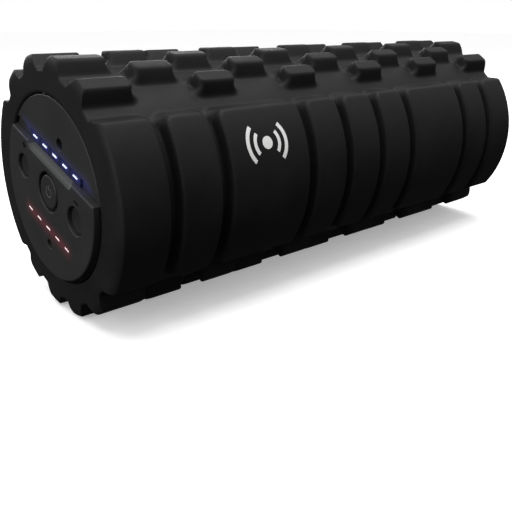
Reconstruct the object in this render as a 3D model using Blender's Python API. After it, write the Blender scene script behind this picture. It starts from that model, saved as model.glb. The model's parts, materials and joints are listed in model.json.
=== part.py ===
"""Vibrating foam roller: a studded foam tube on a rigid core, with a motor, cells and controls inside.

Lengths are in millimetres and are scaled to metres when a mesh is made. X runs along the roller, the
control cap is at the -X end, Z is up and one wide tread band faces -Y.
"""
import math

import bmesh
import bpy
from mathutils import Matrix, Vector

MM = 0.001
NAME = "foam_roller"

# foam sleeve
FOAM_LENGTH = 330.0
PANEL_PROUD = 2.4                       # raised panel of the control cap above the foam end
NEAR = -(FOAM_LENGTH - PANEL_PROUD) / 2.0
FAR = NEAR + FOAM_LENGTH
UNITS = 11                              # equal lengths of the tread pattern
UNIT = FOAM_LENGTH / UNITS
TREAD_R = 65.25
ROOT_R = 58.3
SUNK_R = 56.6                           # blocks start below the root so that they join it fully
BORE_R = 47.4
RIM_ROUND = 5.5
STUD_LENGTH = 23.5
STUD_FOOT, STUD_TOP = 7.6, 3.3          # half widths in degrees
EVEN_ROWS = (56.25, 78.75, 101.25, 123.75)
ODD_ROWS = (67.5, 90.0, 112.5)
PAD_FOOT, PAD_TOP = 42.6, 37.0
PAD_GROOVES = (1, 2, 4, 5, 6, 7, 9, 10)  # unit boundaries with a groove across the wide bands
GROOVE_TOP, GROOVE_FOOT = 7.6, 4.4

# core tube and caps
TUBE_OUT, TUBE_IN = 47.1, 43.9
FLANGE_R, FLANGE_T = 46.9, 3.2
SKIRT_OUT, SKIRT_IN, SKIRT_END = 43.5, 41.3, 20.0
FACE = NEAR + 0.3                       # flange face of the control cap
BACK = FACE + FLANGE_T                  # inner side of the flange
PANEL = NEAR - PANEL_PROUD              # face of the raised panel
PANEL_R = 45.3
SEAL_AT, SEAL_WIRE = 13.0, 0.6
CAP_TILT = math.radians(19.0)           # controls are turned about the axis by this much

# controls, as (p, b) on the tilted cap: p toward the plus button, b toward the speed lights
PLUS_AT, MINUS_AT = 27.6, -27.6
POWER_HOLE, PLUS_HOLE, MINUS_HOLE = 10.3, 6.3, 7.3
SPEED_ROW_P, SPEED_ROW_B, SPEED_PITCH = 0.7, 19.3, 10.4
BATTERY_ROW_P, BATTERY_ROW_B, BATTERY_PITCH = -2.0, -20.2, 10.0
CHANNEL_LOW, CHANNEL_HIGH, CHANNEL_DEEP = 16.4, 21.7, 1.6
PANEL_PAST = 1.5                        # the panel is made past the channel, which trims it
SCOOP_LOW, SCOOP_LEFT, SCOOP_LENGTH = 12.9, -22.2, 46.6
SPEED_HALF, BATTERY_HALF = 25.8, 24.5   # half lengths of the two light bars
WINDOW_HALF = 2.9                       # half length of one light window
JACK_AT = (-3.5, 27.4)
LENS_AT = (-4.5, -28.3)
JACK_HOLE, LENS_HOLE = 2.95, 2.4

# electronics
BOARD_FRONT = NEAR + 11.5
BOARD_T = 1.6
BOARD_R = 32.2
PLUNGER_TOP = NEAR + 6.4
POSTS = ((16.0, 9.5), (-16.0, 9.5), (0.0, -14.6))

# inner frame
ROD_RING, ROD_R = 37.2, 2.0
ROD_ANGLES = (50.0, 130.0, 270.0)
ROD_START, ROD_END = NEAR + 4.6, 28.0
DISC_R, DISC_T = 43.4, 6.0
WIRE_HOLE_B, WIRE_HOLE_R = 31.0, 4.6
CELL_R, CELL_LENGTH, CELL_RING = 9.15, 65.0, 11.9
CELL_START = -138.7
POCKET_R, POCKET_DEEP = 9.45, 3.0

# motor
CAN_R, CAN_FRONT, CAN_REAR = 18.0, -26.0, 28.0
SHAFT_R, SHAFT_HALF = 2.5, 56.0
BEARING_OUT = 5.0
WEIGHT_R, WEIGHT_T, WEIGHT_AT = 16.0, 12.0, 46.0


# ---------------------------------------------------------------- scene and materials

def clear_scene():
    for obj in list(bpy.data.objects):
        bpy.data.objects.remove(obj, do_unlink=True)


def new_collection(name, cutters=False):
    coll = bpy.data.collections.new(name)
    bpy.context.scene.collection.children.link(coll)
    coll.hide_render = cutters
    return coll


def material(name, colour, metallic=0.0, roughness=0.5, glow=None):
    mat = bpy.data.materials.new(name)
    mat.use_nodes = True
    shader = mat.node_tree.nodes["Principled BSDF"]
    shader.inputs["Base Color"].default_value = (*colour, 1.0)
    shader.inputs["Metallic"].default_value = metallic
    shader.inputs["Roughness"].default_value = roughness
    if glow:
        shader.inputs["Emission Color"].default_value = (*glow, 1.0)
        shader.inputs["Emission Strength"].default_value = 2.0
    mat.diffuse_color = (*colour, 1.0)
    return mat


def place(name, bm, mat, origin=(0.0, 0.0, 0.0)):
    """Make a named part from a mesh built around its own origin, and put that origin in place."""
    bmesh.ops.recalc_face_normals(bm, faces=bm.faces)
    bmesh.ops.scale(bm, vec=(MM, MM, MM), verts=bm.verts)
    mesh = bpy.data.meshes.new(name)
    bm.to_mesh(mesh)
    bm.free()
    obj = bpy.data.objects.new(name, mesh)
    obj.location = Vector(origin) * MM
    mesh.materials.append(material(name + "_mat", *mat))
    PARTS.objects.link(obj)
    return obj


def tool(name, bm):
    """A solid that is only used to add to or cut from a part."""
    bmesh.ops.recalc_face_normals(bm, faces=bm.faces)
    bmesh.ops.scale(bm, vec=(MM, MM, MM), verts=bm.verts)
    mesh = bpy.data.meshes.new(name)
    bm.to_mesh(mesh)
    bm.free()
    obj = bpy.data.objects.new(name, mesh)
    obj.display_type = "WIRE"
    obj.hide_render = True
    CUTTERS.objects.link(obj)
    return obj


def combine(obj, other, operation):
    step = obj.modifiers.new(operation.lower() + "_" + other.name, "BOOLEAN")
    step.solver = "EXACT"
    step.operation = operation
    step.object = other
    return obj


# ---------------------------------------------------------------- shape helpers

def tilted(x, p, b):
    """A point on the tilted cap as a world position."""
    c, s = math.cos(CAP_TILT), math.sin(CAP_TILT)
    return (x, p * c - b * s, p * s + b * c)


def ring_point(radius, degrees):
    a = math.radians(degrees)
    return radius * math.cos(a), radius * math.sin(a)


def tilt(bm):
    bmesh.ops.rotate(bm, verts=bm.verts, cent=(0, 0, 0), matrix=Matrix.Rotation(CAP_TILT, 3, "X"))
    return bm


def gather(pieces):
    """Several separate solids in one mesh."""
    whole = bmesh.new()
    for piece in pieces:
        step = bpy.data.meshes.new("step")
        piece.to_mesh(step)
        piece.free()
        whole.from_mesh(step)
        bpy.data.meshes.remove(step)
    return whole


def lathe(profile, segments=64, closed=False, y=0.0, z=0.0):
    """Turn (x, r) points about the X axis; a closed profile makes a ring, an open one a solid."""
    bm = bmesh.new()
    verts = [bm.verts.new((x, 0.0, r)) for x, r in profile]
    for first, second in zip(verts, verts[1:]):
        bm.edges.new((first, second))
    if closed:
        bm.edges.new((verts[-1], verts[0]))
    bmesh.ops.spin(bm, geom=list(bm.verts) + list(bm.edges), cent=(0, 0, 0), axis=(1, 0, 0),
                   angle=math.tau, steps=segments, use_merge=True)
    bmesh.ops.remove_doubles(bm, verts=bm.verts, dist=1e-5)
    centres = [v for v in bm.verts if math.hypot(v.co.y, v.co.z) < 1e-4]
    bmesh.ops.dissolve_verts(bm, verts=centres)
    bmesh.ops.recalc_face_normals(bm, faces=bm.faces)
    bmesh.ops.translate(bm, vec=(0.0, y, z), verts=bm.verts)
    return bm


def rod(x0, x1, r, y=0.0, z=0.0, segments=32, ease=0.0):
    """A plain round bar along X with an optional small chamfer at each end."""
    if ease:
        line = [(x0, 0), (x0, r - ease), (x0 + ease, r), (x1 - ease, r), (x1, r - ease), (x1, 0)]
    else:
        line = [(x0, 0), (x0, r), (x1, r), (x1, 0)]
    return lathe(line, segments, y=y, z=z)


def ring(x0, x1, inner, outer, segments=64, ease=0.0, y=0.0, z=0.0):
    line = [(x0 + ease, inner), (x0, inner + ease), (x0, outer - ease), (x0 + ease, outer),
            (x1 - ease, outer), (x1, outer - ease), (x1, inner + ease), (x1 - ease, inner)]
    if not ease:
        line = [(x0, inner), (x0, outer), (x1, outer), (x1, inner)]
    return lathe(line, segments, closed=True, y=y, z=z)


def box(x0, x1, y0, y1, z0, z1):
    bm = bmesh.new()
    bmesh.ops.create_cube(bm, size=1.0)
    bmesh.ops.scale(bm, vec=(x1 - x0, y1 - y0, z1 - z0), verts=bm.verts)
    bmesh.ops.translate(bm, vec=((x0 + x1) / 2, (y0 + y1) / 2, (z0 + z1) / 2), verts=bm.verts)
    return bm


def prism(outline, x0, x1):
    """A flat outline of (y, z) points pushed along X."""
    bm = bmesh.new()
    face = bm.faces.new([bm.verts.new((x0, y, z)) for y, z in outline])
    side = bmesh.ops.extrude_face_region(bm, geom=[face])
    moved = [item for item in side["geom"] if isinstance(item, bmesh.types.BMVert)]
    bmesh.ops.translate(bm, vec=(x1 - x0, 0, 0), verts=moved)
    bmesh.ops.recalc_face_normals(bm, faces=bm.faces)
    return bm


def slot_bar(x0, x1, half_p, half_b, p, b, steps=3):
    """A bar along X whose outline is a slot with round ends."""
    outline = []
    for sign in (1, -1):
        for k in range(steps + 1):
            a = math.radians(-90 + 180 * k / steps) + (0 if sign > 0 else math.pi)
            outline.append((p + sign * (half_p - half_b) + half_b * math.cos(a), b + half_b * math.sin(a)))
    return prism(outline, x0, x1)


def lead(name, points, radius, mat):
    """A wire through the given points, as one closed solid."""
    curve = bpy.data.curves.new(name + "_path", "CURVE")
    curve.dimensions = "3D"
    curve.bevel_depth = radius * MM
    curve.bevel_resolution = 1
    curve.use_fill_caps = True
    line = curve.splines.new("POLY")
    line.points.add(len(points) - 1)
    for slot, point in zip(line.points, points):
        slot.co = (*(Vector(tilted(*point)) * MM), 1.0)
    path = tool_object(name + "_path", curve)
    mesh = bpy.data.meshes.new_from_object(path.evaluated_get(bpy.context.evaluated_depsgraph_get()))
    bpy.data.objects.remove(path, do_unlink=True)
    bm = bmesh.new()
    bm.from_mesh(mesh)
    bpy.data.meshes.remove(mesh)
    bmesh.ops.remove_doubles(bm, verts=bm.verts, dist=1e-7)
    bmesh.ops.scale(bm, vec=(1 / MM, 1 / MM, 1 / MM), verts=bm.verts)
    return place(name, bm, mat)


def tool_object(name, data):
    obj = bpy.data.objects.new(name, data)
    CUTTERS.objects.link(obj)
    bpy.context.view_layer.update()
    return obj


def rounded_path(points, reach=6.0, steps=4):
    """Replace each inner corner of a path with a short curve."""
    pts = [Vector(p) for p in points]
    out = [pts[0]]
    for before, corner, after in zip(pts, pts[1:], pts[2:]):
        near = min(reach, (before - corner).length / 2, (after - corner).length / 2)
        a = corner + (before - corner).normalized() * near
        c = corner + (after - corner).normalized() * near
        for k in range(steps + 1):
            t = k / steps
            out.append(a * (1 - t) ** 2 + corner * 2 * t * (1 - t) + c * t ** 2)
    out.append(pts[-1])
    return [tuple(p) for p in out]


# ---------------------------------------------------------------- foam sleeve

def tread_block(x0, x1, middle, foot, top, ease0, ease1, steps, soft):
    """One raised block wrapped on the roller; middle, foot and top are angles about the axis."""
    bm = bmesh.new()
    bmesh.ops.create_cube(bm, size=2.0)
    if steps > 1:
        across = [e for e in bm.edges if abs(e.verts[0].co.y - e.verts[1].co.y) > 1.0]
        bmesh.ops.subdivide_edges(bm, edges=across, cuts=steps - 1, use_grid_fill=True)
    slope = (foot - top) / (TREAD_R - ROOT_R)
    for v in bm.verts:
        side, around, high = v.co.x, v.co.y, v.co.z > 0
        half = top if high else foot + slope * (ROOT_R - SUNK_R)
        lean = 1.0 if high else 0.0
        x = x0 + ease0 * lean if side < 0 else x1 - ease1 * lean
        angle = math.radians(middle + around * half)
        r = TREAD_R if high else SUNK_R
        v.co = (x, -r * math.cos(angle), r * math.sin(angle))
    bm.normal_update()
    mid_r = (SUNK_R + TREAD_R) / 2
    sharp = [e for e in bm.edges if e.calc_face_angle(0) > 0.5
             and min(math.hypot(v.co.y, v.co.z) for v in e.verts) > mid_r]
    bmesh.ops.bevel(bm, geom=sharp, offset=soft, segments=1, profile=0.5, affect="EDGES",
                    clamp_overlap=True)
    return bm


def tread_blocks():
    blocks = []
    for unit in range(UNITS):
        rows = EVEN_ROWS if unit % 2 == 0 else ODD_ROWS
        start = NEAR + unit * UNIT
        x0, x1 = start + (UNIT - STUD_LENGTH) / 2, start + (UNIT + STUD_LENGTH) / 2
        x0 = NEAR - 2.0 if unit == 0 else x0
        x1 = FAR + 2.0 if unit == UNITS - 1 else x1
        for row in rows:
            for side in (1, -1):
                blocks.append(tread_block(x0, x1, side * row, STUD_FOOT, STUD_TOP, 0.7, 0.7, 1, 0.9))
    edges = [NEAR - 2.0] + [NEAR + g * UNIT for g in PAD_GROOVES] + [FAR + 2.0]
    slope = (GROOVE_TOP - GROOVE_FOOT) / 2
    for x0, x1 in zip(edges, edges[1:]):
        first, last = x0 < NEAR, x1 > FAR
        a = x0 if first else x0 + GROOVE_FOOT / 2
        b = x1 if last else x1 - GROOVE_FOOT / 2
        for middle in (0.0, 180.0):
            blocks.append(tread_block(a, b, middle, PAD_FOOT, PAD_TOP, 0.0 if first else slope,
                                      0.0 if last else slope, 7, 1.6))
    return blocks


def sleeve_trim():
    """Everything the foam may not fill: beyond both ends, outside the rounded rims and the bore."""
    top = TREAD_R + 1.5
    line = [(NEAR - 5, 0), (NEAR - 5, top + 6), (NEAR + RIM_ROUND, top + 6)]
    for k in range(3, -1, -1):
        a = math.radians(30 * k)
        line.append((NEAR + RIM_ROUND * (1 - math.cos(a)), top - RIM_ROUND * (1 - math.sin(a))))
    line += [(NEAR, BORE_R + 0.9), (NEAR + 0.9, BORE_R)]
    line += [(NEAR + FAR - x, r) for x, r in reversed(line)]
    return lathe(line, 48)


def foam_sleeve():
    core = rod(NEAR - 3, FAR + 3, ROOT_R, segments=48)
    foam = place("foam_sleeve", core, ((0.012, 0.012, 0.013), 0.0, 0.8))
    combine(foam, tool("tread", gather(tread_blocks())), "UNION")
    combine(foam, tool("sleeve_trim", sleeve_trim()), "DIFFERENCE")


# ---------------------------------------------------------------- tube, caps and seals

def cap_body(face, direction, segments):
    """Flange, skirt and seal groove; direction is +1 when the skirt points to +X."""
    def at(depth):
        return face + direction * depth
    groove = SEAL_AT - 0.3
    line = [(at(0), 0), (at(0), FLANGE_R - 0.4), (at(0.4), FLANGE_R), (at(FLANGE_T), FLANGE_R),
            (at(FLANGE_T), SKIRT_OUT), (at(groove - 1.0), SKIRT_OUT), (at(groove - 1.0), SKIRT_OUT - 1.0),
            (at(groove + 1.0), SKIRT_OUT - 1.0), (at(groove + 1.0), SKIRT_OUT),
            (at(SKIRT_END - 0.6), SKIRT_OUT), (at(SKIRT_END), SKIRT_OUT - 0.6), (at(SKIRT_END), SKIRT_IN),
            (at(FLANGE_T), SKIRT_IN), (at(FLANGE_T), 0)]
    return lathe(line, segments)


def raised_panel():
    """The D-shaped panel that carries the buttons, cut straight along the light channel."""
    bm = rod(PANEL, NEAR + 1.6, PANEL_R, segments=56)
    geom = list(bm.verts) + list(bm.edges) + list(bm.faces)
    bmesh.ops.bisect_plane(bm, geom=geom, plane_co=(0, 0, CHANNEL_LOW + PANEL_PAST), plane_no=(0, 0, 1),
                           clear_outer=True)
    bmesh.ops.holes_fill(bm, edges=[e for e in bm.edges if e.is_boundary], sides=0)
    bmesh.ops.recalc_face_normals(bm, faces=bm.faces)
    bm.normal_update()
    front = [e for e in bm.edges if e.calc_face_angle(0) > 0.6
             and all(v.co.x < PANEL + 0.01 for v in e.verts)]
    bmesh.ops.bevel(bm, geom=front, offset=0.8, segments=2, profile=0.5, affect="EDGES")
    return bm


def light_positions(row_p, row_b, pitch):
    return [(row_p + pitch * k, row_b) for k in (-2, -1, 0, 1, 2)]


def scoop_block():
    """A wedge that slopes the edge of the panel down into the light channel."""
    rise = CHANNEL_LOW - SCOOP_LOW
    drop = FACE - PANEL
    outline = [(PANEL - 0.5, SCOOP_LOW - 0.5 * rise / drop), (FACE + 0.2, CHANNEL_LOW + 0.2 * rise / drop),
               (PANEL - 0.5, CHANNEL_LOW + 0.2 * rise / drop)]
    bm = bmesh.new()
    face = bm.faces.new([bm.verts.new((x, SCOOP_LEFT, b)) for x, b in outline])
    side = bmesh.ops.extrude_face_region(bm, geom=[face])
    moved = [item for item in side["geom"] if isinstance(item, bmesh.types.BMVert)]
    bmesh.ops.translate(bm, vec=(0, SCOOP_LENGTH, 0), verts=moved)
    bmesh.ops.recalc_face_normals(bm, faces=bm.faces)
    return bm


def control_cap():
    cap = place("control_cap", cap_body(FACE, 1, 48), ((0.045, 0.046, 0.048), 0.0, 0.42))
    posts = [rod(NEAR + 2.6, BOARD_FRONT - 0.1, 2.4, p, b, 16) for p, b in POSTS]
    sockets = [rod(NEAR + 2.6, NEAR + 13.0, 4.4, *ring_point(ROD_RING, a), 20) for a in ROD_ANGLES]
    combine(cap, tool("cap_adds", tilt(gather([raised_panel()] + posts + sockets))), "UNION")
    out = PANEL - 2.0
    through = [rod(out, BACK + 1.0, POWER_HOLE, segments=40),
               rod(out, BACK + 1.0, PLUS_HOLE, PLUS_AT, 0, 32),
               rod(out, BACK + 1.0, MINUS_HOLE, MINUS_AT, 0, 32),
               rod(out, BACK + 1.0, JACK_HOLE, *JACK_AT, 24),
               rod(out, BACK + 1.0, LENS_HOLE, *LENS_AT, 24)]
    through += [slot_bar(out, BACK + 1.0, WINDOW_HALF, 1.0, p, b)
                for p, b in light_positions(BATTERY_ROW_P, BATTERY_ROW_B, BATTERY_PITCH)]
    through += [rod(BOARD_FRONT - 6.5, BOARD_FRONT + 1.0, 1.1, p, b, 12) for p, b in POSTS]
    through += [rod(ROD_START - 0.3, NEAR + 14.0, ROD_R + 0.2, *ring_point(ROD_RING, a), 16)
                for a in ROD_ANGLES]
    combine(cap, tool("cap_holes", tilt(gather(through))), "DIFFERENCE")
    pocket = box(out, FACE + CHANNEL_DEEP, -60, 60, CHANNEL_LOW, CHANNEL_HIGH)
    combine(cap, tool("cap_channel", tilt(pocket)), "DIFFERENCE")
    light_slot = box(FACE + 0.4, BACK + 1.0, SPEED_ROW_P - 24.4, SPEED_ROW_P + 24.4, 18.2, 20.4)
    deep = [light_slot, scoop_block()]
    combine(cap, tool("cap_details", tilt(gather(deep))), "DIFFERENCE")


def rear_cap():
    cap = place("rear_cap", cap_body(FAR - 0.3, -1, 36), ((0.03, 0.03, 0.032), 0.0, 0.5))
    combine(cap, tool("rear_dish", ring(FAR - 1.1, FAR + 1.0, 34.0, 36.0, 36)), "DIFFERENCE")


def seal(name, x, segments):
    wire = [(x + SEAL_WIRE * math.cos(math.tau * k / 6), 43.15 + SEAL_WIRE * math.sin(math.tau * k / 6))
            for k in range(6)]
    place(name, lathe(wire, segments, closed=True), ((0.01, 0.01, 0.01), 0.0, 0.7))


def tube_and_seals():
    inset = FLANGE_T + 0.6
    place("core_tube", ring(NEAR + inset, FAR - inset, TUBE_IN, TUBE_OUT, 48), ((0.5, 0.5, 0.48), 0.0, 0.5))
    seal("seal_front", FACE + SEAL_AT - 0.3, 48)
    seal("seal_rear", FAR - 0.3 - (SEAL_AT - 0.3), 36)


# ---------------------------------------------------------------- lights, buttons, sockets

def light_bars():
    clear = ((0.55, 0.65, 0.9), 0.0, 0.15)
    strip = box(FACE + 0.3, FACE + CHANNEL_DEEP - 0.2, SPEED_ROW_P - SPEED_HALF, SPEED_ROW_P + SPEED_HALF,
                CHANNEL_LOW + 0.3, CHANNEL_HIGH - 0.3)
    speed = place("speed_light_bar", tilt(strip), (*clear, (0.1, 0.25, 1.0)))
    ends = [slot_bar(FACE - 0.05, FACE + 0.9, WINDOW_HALF - 0.1, 0.95, p, b)
            for p, b in light_positions(SPEED_ROW_P, SPEED_ROW_B, SPEED_PITCH)]
    ends.append(box(FACE + 1.0, NEAR + 6.2, SPEED_ROW_P - 24.0, SPEED_ROW_P + 24.0, 18.5, 20.1))
    combine(speed, tool("speed_windows", tilt(gather(ends))), "UNION")
    pink = ((0.9, 0.6, 0.6), 0.0, 0.15)
    strip = box(BACK + 0.3, BACK + 2.3, BATTERY_ROW_P - BATTERY_HALF, BATTERY_ROW_P + BATTERY_HALF,
                BATTERY_ROW_B - 2.2, BATTERY_ROW_B + 2.2)
    bar = place("battery_light_bar", tilt(strip), (*pink, (1.0, 0.05, 0.08)))
    windows = [slot_bar(PANEL + 0.15, BACK + 1.2, WINDOW_HALF - 0.25, 0.75, p, b)
               for p, b in light_positions(BATTERY_ROW_P, BATTERY_ROW_B, BATTERY_PITCH)]
    combine(bar, tool("battery_windows", tilt(gather(windows))), "UNION")


def button(name, p, hole, face_r, sunk, step, mat):
    """A push button: face, optional lower step, wide retaining rim and a stem for its switch."""
    def at(x):
        return x - PANEL
    neck = hole - 0.3
    front = at(PANEL + sunk)
    line = [(front + 0.15, 0), (front, face_r - 0.7), (front + 0.5, face_r)]
    if step:
        line += [(step, face_r), (step, neck)]
    line += [(at(BACK + 0.3), neck), (at(BACK + 0.3), hole + 1.2), (at(BACK + 1.4), hole + 1.2),
             (at(BACK + 1.4), 2.6), (at(PLUNGER_TOP - 0.9), 2.6), (at(PLUNGER_TOP - 0.9), 0)]
    place(name, lathe(line, 36), mat, tilted(PANEL, p, 0.0))


def controls():
    grey = ((0.06, 0.06, 0.063), 0.0, 0.4)
    button("power_button", 0.0, POWER_HOLE, 8.5, 0.15, 2.6, grey)
    button("plus_button", PLUS_AT, PLUS_HOLE, PLUS_HOLE - 0.3, 1.5, 0, grey)
    button("minus_button", MINUS_AT, MINUS_HOLE, MINUS_HOLE - 0.3, 1.9, 0, grey)
    for name, p in (("switch_power", 0.0), ("switch_plus", PLUS_AT), ("switch_minus", MINUS_AT)):
        body = box(BOARD_FRONT - 3.5, BOARD_FRONT - 0.1, p - 3.0, p + 3.0, -3.0, 3.0)
        switch = place(name, tilt(body), ((0.02, 0.02, 0.02), 0.0, 0.5))
        plunger = rod(PLUNGER_TOP, BOARD_FRONT - 2.0, 1.7, p, 0.0, 16)
        combine(switch, tool(name + "_plunger", tilt(plunger)), "UNION")


def sockets():
    jack = ring(BACK + 0.3, BOARD_FRONT - 0.1, JACK_HOLE, 4.5, 28, y=JACK_AT[0], z=JACK_AT[1])
    body = place("charging_jack", tilt(jack), ((0.02, 0.02, 0.02), 0.0, 0.45))
    base = rod(BOARD_FRONT - 1.6, BOARD_FRONT - 0.6, 3.6, *JACK_AT, 24)
    combine(body, tool("jack_base", tilt(base)), "UNION")
    pin = rod(NEAR + 5.2, BOARD_FRONT - 1.7, 0.95, *JACK_AT, 12, ease=0.3)
    place("jack_pin", tilt(pin), ((0.7, 0.7, 0.72), 1.0, 0.25))
    lens = [(PANEL + 1.2, 0), (PANEL + 1.2, 2.1), (BACK + 0.3, 2.1), (BACK + 0.3, 2.9), (BACK + 1.2, 2.9),
            (BACK + 1.2, 1.8), (BOARD_FRONT - 1.2, 1.8), (BOARD_FRONT - 1.2, 0)]
    place("charge_lens", tilt(lathe(lens, 24, y=LENS_AT[0], z=LENS_AT[1])), ((0.3, 0.3, 0.32), 0.0, 0.2))


def control_board():
    board = place("control_pcb", tilt(rod(BOARD_FRONT, BOARD_FRONT + BOARD_T, BOARD_R, segments=40)),
                  ((0.01, 0.09, 0.03), 0.0, 0.45))
    fit = [rod(BOARD_FRONT - 1, BOARD_FRONT + 3, 1.5, p, b, 20) for p, b in POSTS]
    combine(board, tool("board_holes", tilt(gather(fit))), "DIFFERENCE")
    lamps = (light_positions(SPEED_ROW_P, SPEED_ROW_B, SPEED_PITCH)
             + light_positions(BATTERY_ROW_P, BATTERY_ROW_B, BATTERY_PITCH) + [LENS_AT])
    chips = [box(BOARD_FRONT - 0.9, BOARD_FRONT + 0.4, p - 1.0, p + 1.0, b - 0.7, b + 0.7)
             for p, b in lamps]
    back = BOARD_FRONT + BOARD_T
    chips += [box(back - 0.4, back + 1.4, -6, 6, -4, 8), box(back - 0.4, back + 2.5, -9, 9, 23.8, 30.4),
              box(back - 0.4, back + 2.2, -22, -16, -12, -4), box(back - 0.4, back + 3.0, 14, 20, -12, -6)]
    combine(board, tool("board_chips", tilt(gather(chips))), "UNION")
    for k, (p, b) in enumerate(POSTS):
        line = [(BOARD_FRONT - 5.0, 0), (BOARD_FRONT - 5.0, 0.95), (back + 0.15, 0.95), (back + 0.15, 2.3),
                (back + 1.3, 2.3), (back + 1.7, 1.7), (back + 1.7, 0)]
        place("pcb_screw_%d" % (k + 1), tilt(lathe(line, 12, y=p, z=b)), ((0.6, 0.6, 0.62), 1.0, 0.3))


# ---------------------------------------------------------------- inner frame and cells

def frame_disc(name, x0, extra_cuts, mat):
    disc = place(name, tilt(rod(x0, x0 + DISC_T, DISC_R, segments=36)), mat)
    cuts = [rod(x0 - 1, x0 + DISC_T + 1, ROD_R + 0.3, *ring_point(ROD_RING, a), 16) for a in ROD_ANGLES]
    cuts.append(rod(x0 - 1, x0 + DISC_T + 1, WIRE_HOLE_R, 0.0, WIRE_HOLE_B, 20))
    combine(disc, tool(name + "_cuts", tilt(gather(cuts + extra_cuts))), "DIFFERENCE")


def inner_frame():
    steel = ((0.55, 0.56, 0.58), 1.0, 0.35)
    plastic = ((0.08, 0.08, 0.085), 0.0, 0.55)
    for k, a in enumerate(ROD_ANGLES):
        bar = rod(ROD_START, ROD_END, ROD_R, *ring_point(ROD_RING, a), 16, ease=0.4)
        place("chassis_rod_%d" % (k + 1), tilt(bar), steel)
    spots = [ring_point(CELL_RING, a) for a in (90.0, 210.0, 330.0)]
    cell_end = CELL_START + CELL_LENGTH
    first = CELL_START - 0.3 - (DISC_T - POCKET_DEEP)
    last = cell_end + 0.3 - POCKET_DEEP
    front = [rod(CELL_START - 0.3, CELL_START + 6, POCKET_R, p, b, 24) for p, b in spots]
    rear = [rod(cell_end - 6, cell_end + 0.3, POCKET_R, p, b, 24) for p, b in spots]
    frame_disc("battery_holder_front", first, front, plastic)
    frame_disc("battery_holder_rear", last, rear, plastic)
    for k, (p, b) in enumerate(spots):
        line = [(CELL_START, 0), (CELL_START, 2.6), (CELL_START + 1.3, 2.6), (CELL_START + 1.3, CELL_R - 0.6),
                (CELL_START + 1.9, CELL_R), (cell_end - 0.6, CELL_R), (cell_end, CELL_R - 0.6), (cell_end, 0)]
        place("cell_%d" % (k + 1), tilt(lathe(line, 24, y=p, z=b)), ((0.05, 0.16, 0.4), 0.0, 0.4))
    bms = box(CELL_START + 8, CELL_START + 56, -8.5, 8.5, 21.5, 23.1)
    board = place("bms_board", tilt(bms), ((0.01, 0.08, 0.03), 0.0, 0.45))
    chips = [box(CELL_START + 14, CELL_START + 20, -4, 4, 22.8, 24.2),
             box(CELL_START + 30, CELL_START + 40, -5, 3, 22.8, 24.6)]
    combine(board, tool("bms_chips", tilt(gather(chips))), "UNION")
    for name, x in (("front", -23.0), ("rear", 17.0)):
        hub = rod(x - 1, x + DISC_T + 1, CAN_R + 4.3, segments=36)
        frame_disc("motor_mount_" + name, x, [hub], plastic)
        place("isolator_" + name, tilt(ring(x, x + DISC_T, CAN_R + 0.3, CAN_R + 4.0, 36)),
              ((0.02, 0.02, 0.02), 0.0, 0.9))


# ---------------------------------------------------------------- motor

def arc_wedge(inner, outer, x0, x1, middle, half, steps=14):
    outline = [ring_point(outer, middle - half + 2 * half * k / steps) for k in range(steps + 1)]
    outline += [ring_point(inner, middle + half - 2 * half * k / steps) for k in range(steps + 1)]
    return prism(outline, x0, x1)


def motor():
    steel = ((0.5, 0.51, 0.53), 1.0, 0.35)
    can = [(CAN_FRONT, CAN_R - 1.0), (CAN_FRONT, CAN_R), (CAN_REAR - 1.5, CAN_R), (CAN_REAR, CAN_R - 1.5),
           (CAN_REAR, BEARING_OUT + 0.1), (CAN_REAR - 2.0, BEARING_OUT + 0.1), (CAN_REAR - 2.0, CAN_R - 1.0)]
    place("motor_can", lathe(can, 32, closed=True), steel)
    bell = [(CAN_FRONT - 0.3, CAN_R), (CAN_FRONT - 0.3, CAN_R - 1.3), (CAN_FRONT + 2.0, CAN_R - 1.3),
            (CAN_FRONT + 2.0, BEARING_OUT + 0.1), (CAN_FRONT - 2.8, BEARING_OUT + 0.1),
            (CAN_FRONT - 2.8, CAN_R - 0.6), (CAN_FRONT - 2.2, CAN_R)]
    place("motor_end_bell", lathe(bell, 32, closed=True), ((0.03, 0.03, 0.03), 0.0, 0.5))
    for name, x in (("bearing_front", CAN_FRONT - 2.6), ("bearing_rear", CAN_REAR - 2.2)):
        place(name, ring(x, x + 3.0, SHAFT_R + 0.05, BEARING_OUT, 20), ((0.6, 0.42, 0.2), 1.0, 0.4))
    for name, middle in (("magnet_upper", 90.0), ("magnet_lower", 270.0)):
        place(name, arc_wedge(13.9, 16.7, -19.0, 22.0, middle, 66.0), ((0.06, 0.06, 0.065), 0.3, 0.6))
    for name, side in (("brush_left", 1), ("brush_right", -1)):
        brush = box(CAN_FRONT + 2.4, CAN_FRONT + 6.0, *sorted((side * 5.7, side * 11.5)), -2.2, 2.2)
        place(name, brush, ((0.05, 0.045, 0.04), 0.2, 0.5))


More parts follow.
